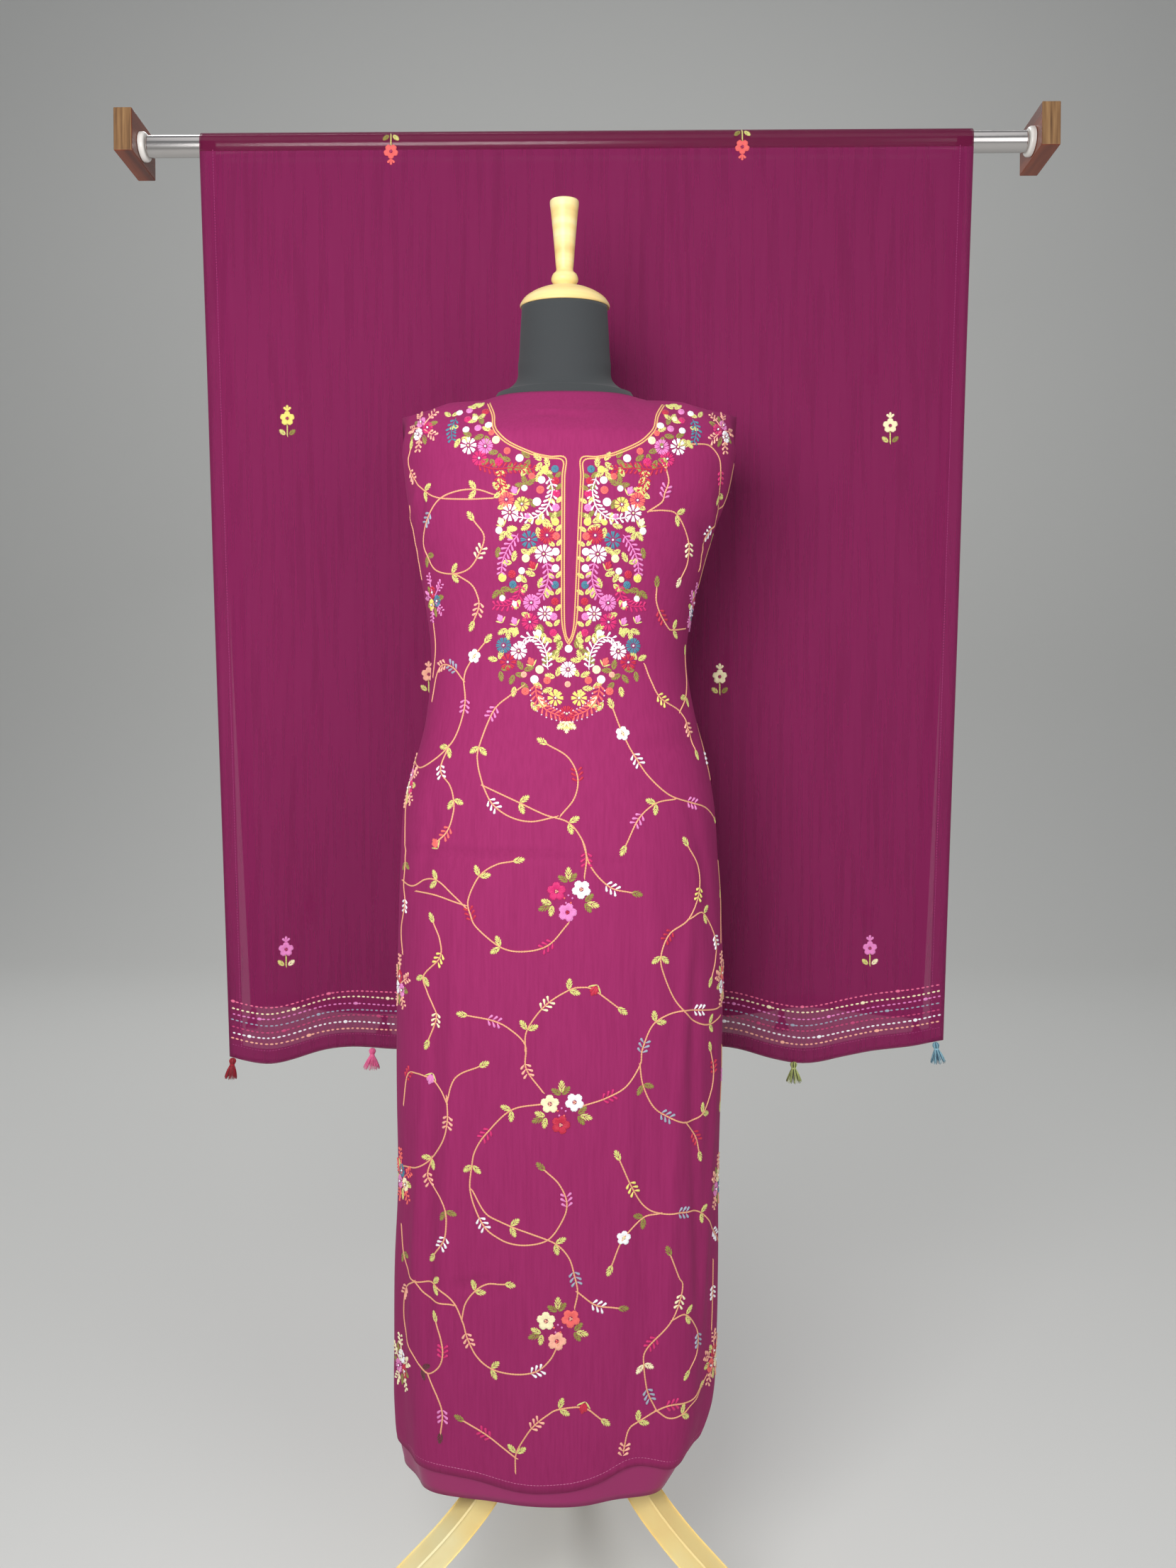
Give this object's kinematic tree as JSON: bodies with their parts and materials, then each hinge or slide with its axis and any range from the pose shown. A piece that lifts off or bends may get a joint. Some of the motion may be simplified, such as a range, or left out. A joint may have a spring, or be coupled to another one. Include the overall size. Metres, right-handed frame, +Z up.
{
  "type": "salwar kameez suit on a dress form, with its dupatta on a wall rod",
  "caption": "Embroidered wine-magenta kameez lengths on a limbless dress form, with a sheer tasselled dupatta folded over a chrome rod behind.",
  "frame": {"origin": "middle of the bounding box's underside, on the floor under the middle of the rod", "axes": "+Z up; -Y to the front, towards the viewer of the kameez; +X to the viewer's right, along the rod"},
  "size_m": [1.145, 0.5692, 1.7625],
  "materials": {
    "kameez_georgette": "matte crepe georgette",
    "under_satin": "soft satin",
    "dupatta_georgette": "sheer crinkled georgette",
    "form_jersey": "matte jersey",
    "pale_wood": "satin varnish",
    "brown_wood": "satin",
    "chrome_rod": "polished",
    "white_flange": "satin",
    "crimson_thread": "soft thread",
    "pink_thread": "soft thread",
    "cream_thread": "soft thread",
    "green_thread": "soft thread",
    "teal_thread": "soft thread"
  },
  "bodies": {
    "root": {"kameez_front": "kameez_georgette", "kameez_back": "kameez_georgette", "underlayer_front": "under_satin", "underlayer_back": "under_satin", "dupatta_front_fall": "dupatta_georgette", "dupatta_back_fall": "dupatta_georgette", "form_body": "form_jersey", "neck_cap": "pale_wood", "finial": "pale_wood", "stand_pole": "pale_wood", "stand_hub": "pale_wood", "leg_left": "pale_wood", "leg_right": "pale_wood", "leg_back": "pale_wood", "rod": "chrome_rod", "flange_left": "white_flange", "flange_right": "white_flange", "block_left": "brown_wood", "block_right": "brown_wood", "tassel_front_1": "crimson_thread", "tassel_back_1": "pink_thread", "tassel_front_2": "pink_thread", "tassel_back_2": "green_thread", "tassel_front_3": "cream_thread", "tassel_back_3": "crimson_thread", "tassel_front_4": "crimson_thread", "tassel_back_4": "teal_thread", "tassel_front_5": "green_thread", "tassel_back_5": "pink_thread", "tassel_front_6": "teal_thread", "tassel_back_6": "crimson_thread"}
  },
  "joints": []
}
